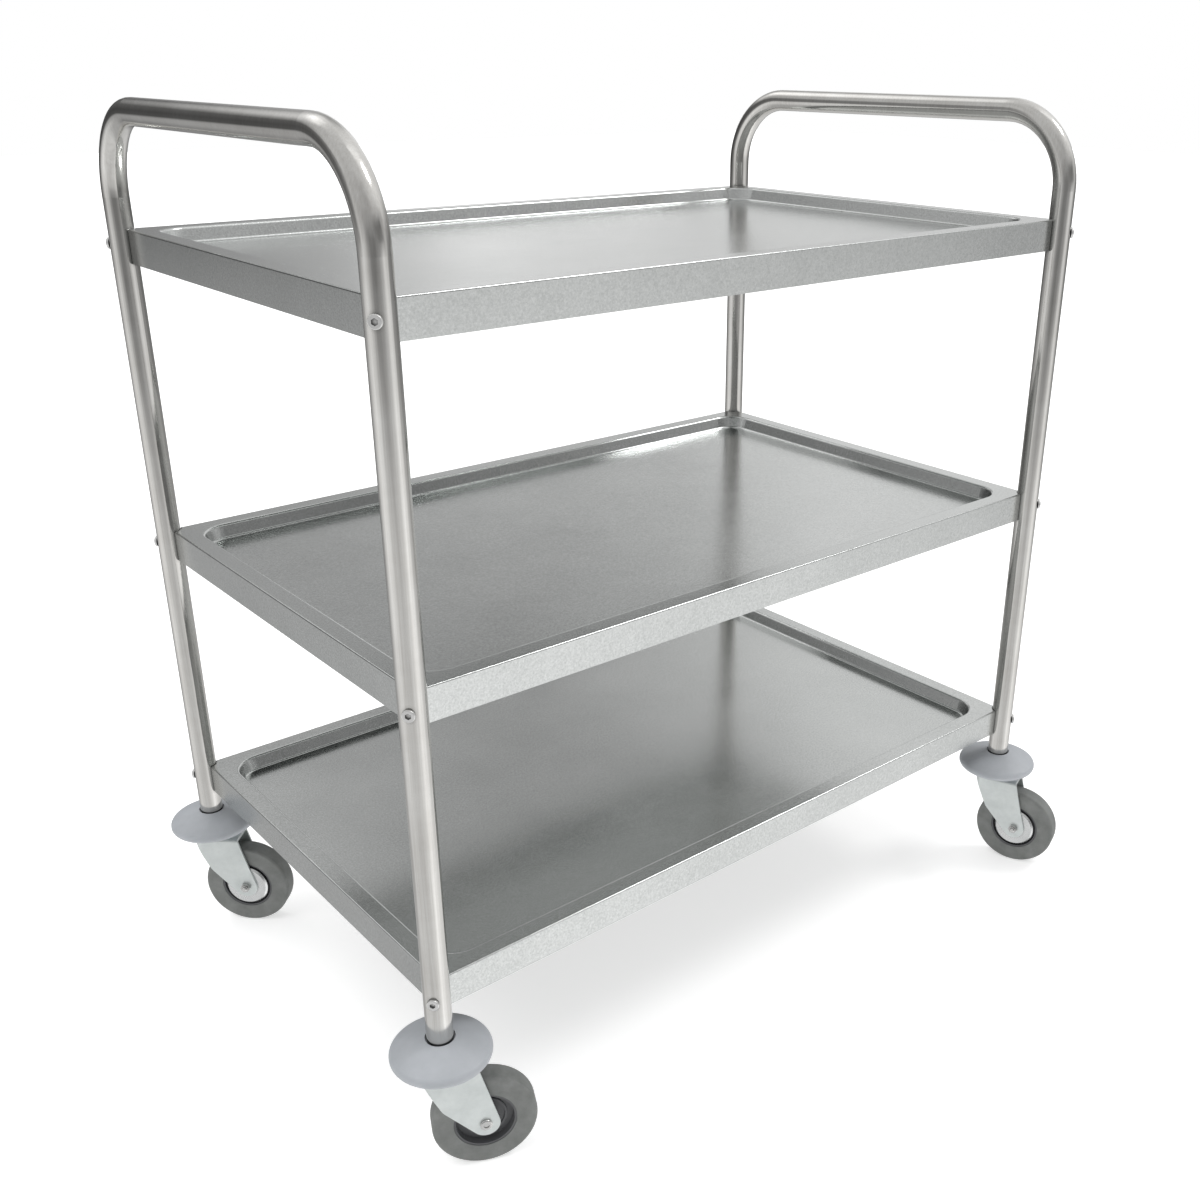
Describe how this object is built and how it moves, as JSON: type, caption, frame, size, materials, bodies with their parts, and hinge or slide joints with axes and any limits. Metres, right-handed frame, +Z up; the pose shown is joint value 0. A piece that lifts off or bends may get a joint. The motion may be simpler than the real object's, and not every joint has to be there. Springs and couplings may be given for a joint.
{
  "type": "food service trolley",
  "caption": "Stainless catering trolley: pressed trays bolted between two bent tube end frames with handle loops, on swivel castors with bumper discs.",
  "frame": {"origin": "centre of the trolley at floor level", "axes": "+X along the trays to the right-hand handle end, +Y to the rear long side, +Z up"},
  "size_m": [0.93, 0.6836, 0.936],
  "materials": {
    "polished_tube": "polished stainless steel tube",
    "tray_steel": "satin stainless steel sheet",
    "bolt_steel": "bright plated steel",
    "zinc_plate": "pale zinc-plated pressed steel",
    "ball_steel": "hardened steel balls",
    "guard_steel": "bright plated thin sheet",
    "plug_plastic": "dark nylon",
    "disc_plastic": "satin blue-grey plastic",
    "hub_plastic": "dark moulded plastic",
    "tyre_rubber": "grey solid rubber"
  },
  "bodies": {
    "frame": {"end_frame_left": "polished_tube", "end_frame_right": "polished_tube", "tray_top": "tray_steel", "tray_middle": "tray_steel", "tray_bottom": "tray_steel", "tray_bolts": "bolt_steel", "tray_washers": "bolt_steel", "tray_nuts": "bolt_steel", "foot_plug_front_left": "plug_plastic", "bumper_disc_front_left": "disc_plastic", "castor_stem_front_left": "zinc_plate", "upper_race_front_left": "zinc_plate", "foot_plug_front_right": "plug_plastic", "bumper_disc_front_right": "disc_plastic", "castor_stem_front_right": "zinc_plate", "upper_race_front_right": "zinc_plate", "foot_plug_rear_left": "plug_plastic", "bumper_disc_rear_left": "disc_plastic", "castor_stem_rear_left": "zinc_plate", "upper_race_rear_left": "zinc_plate", "foot_plug_rear_right": "plug_plastic", "bumper_disc_rear_right": "disc_plastic", "castor_stem_rear_right": "zinc_plate", "upper_race_rear_right": "zinc_plate"},
    "castor_front_left": {"castor_fork_front_left": "zinc_plate", "bearing_balls_front_left": "ball_steel", "axle_bolt_front_left": "bolt_steel", "axle_nut_front_left": "bolt_steel", "axle_sleeve_front_left": "bolt_steel"},
    "wheel_front_left": {"wheel_hub_front_left": "hub_plastic", "tyre_front_left": "tyre_rubber"},
    "castor_front_right": {"castor_fork_front_right": "zinc_plate", "bearing_balls_front_right": "ball_steel", "axle_bolt_front_right": "bolt_steel", "axle_nut_front_right": "bolt_steel", "axle_sleeve_front_right": "bolt_steel", "thread_guards_front_right": "guard_steel"},
    "wheel_front_right": {"wheel_hub_front_right": "hub_plastic", "tyre_front_right": "tyre_rubber"},
    "castor_rear_left": {"castor_fork_rear_left": "zinc_plate", "bearing_balls_rear_left": "ball_steel", "axle_bolt_rear_left": "bolt_steel", "axle_nut_rear_left": "bolt_steel", "axle_sleeve_rear_left": "bolt_steel", "thread_guards_rear_left": "guard_steel"},
    "wheel_rear_left": {"wheel_hub_rear_left": "hub_plastic", "tyre_rear_left": "tyre_rubber"},
    "castor_rear_right": {"castor_fork_rear_right": "zinc_plate", "bearing_balls_rear_right": "ball_steel", "axle_bolt_rear_right": "bolt_steel", "axle_nut_rear_right": "bolt_steel", "axle_sleeve_rear_right": "bolt_steel", "thread_guards_rear_right": "guard_steel"},
    "wheel_rear_right": {"wheel_hub_rear_right": "hub_plastic", "tyre_rear_right": "tyre_rubber"}
  },
  "joints": [
    {"name": "swivel_front_left", "type": "hinge", "parent": "frame", "child": "castor_front_left", "pos_m": [-0.4175, -0.2585, 0.113], "axis": [0, 0, 1], "continuous": true},
    {"name": "wheel_spin_front_left", "type": "hinge", "parent": "castor_front_left", "child": "wheel_front_left", "pos_m": [-0.38578, -0.27329, 0.05], "axis": [-0.4226, -0.9063, 0], "continuous": true},
    {"name": "swivel_front_right", "type": "hinge", "parent": "frame", "child": "castor_front_right", "pos_m": [0.4175, -0.2585, 0.113], "axis": [0, 0, 1], "continuous": true},
    {"name": "wheel_spin_front_right", "type": "hinge", "parent": "castor_front_right", "child": "wheel_front_right", "pos_m": [0.43004, -0.29118, 0.05], "axis": [-0.9336, -0.3584, 0], "continuous": true},
    {"name": "swivel_rear_left", "type": "hinge", "parent": "frame", "child": "castor_rear_left", "pos_m": [-0.4175, 0.2585, 0.113], "axis": [0, 0, 1], "continuous": true},
    {"name": "wheel_spin_rear_left", "type": "hinge", "parent": "castor_rear_left", "child": "wheel_rear_left", "pos_m": [-0.39275, 0.23375, 0.05], "axis": [-0.7071, -0.7071, 0], "continuous": true},
    {"name": "swivel_rear_right", "type": "hinge", "parent": "frame", "child": "castor_rear_right", "pos_m": [0.4175, 0.2585, 0.113], "axis": [0, 0, 1], "continuous": true},
    {"name": "wheel_spin_rear_right", "type": "hinge", "parent": "castor_rear_right", "child": "wheel_rear_right", "pos_m": [0.42656, 0.29231, 0.05], "axis": [0.9659, -0.2588, 0], "continuous": true}
  ]
}
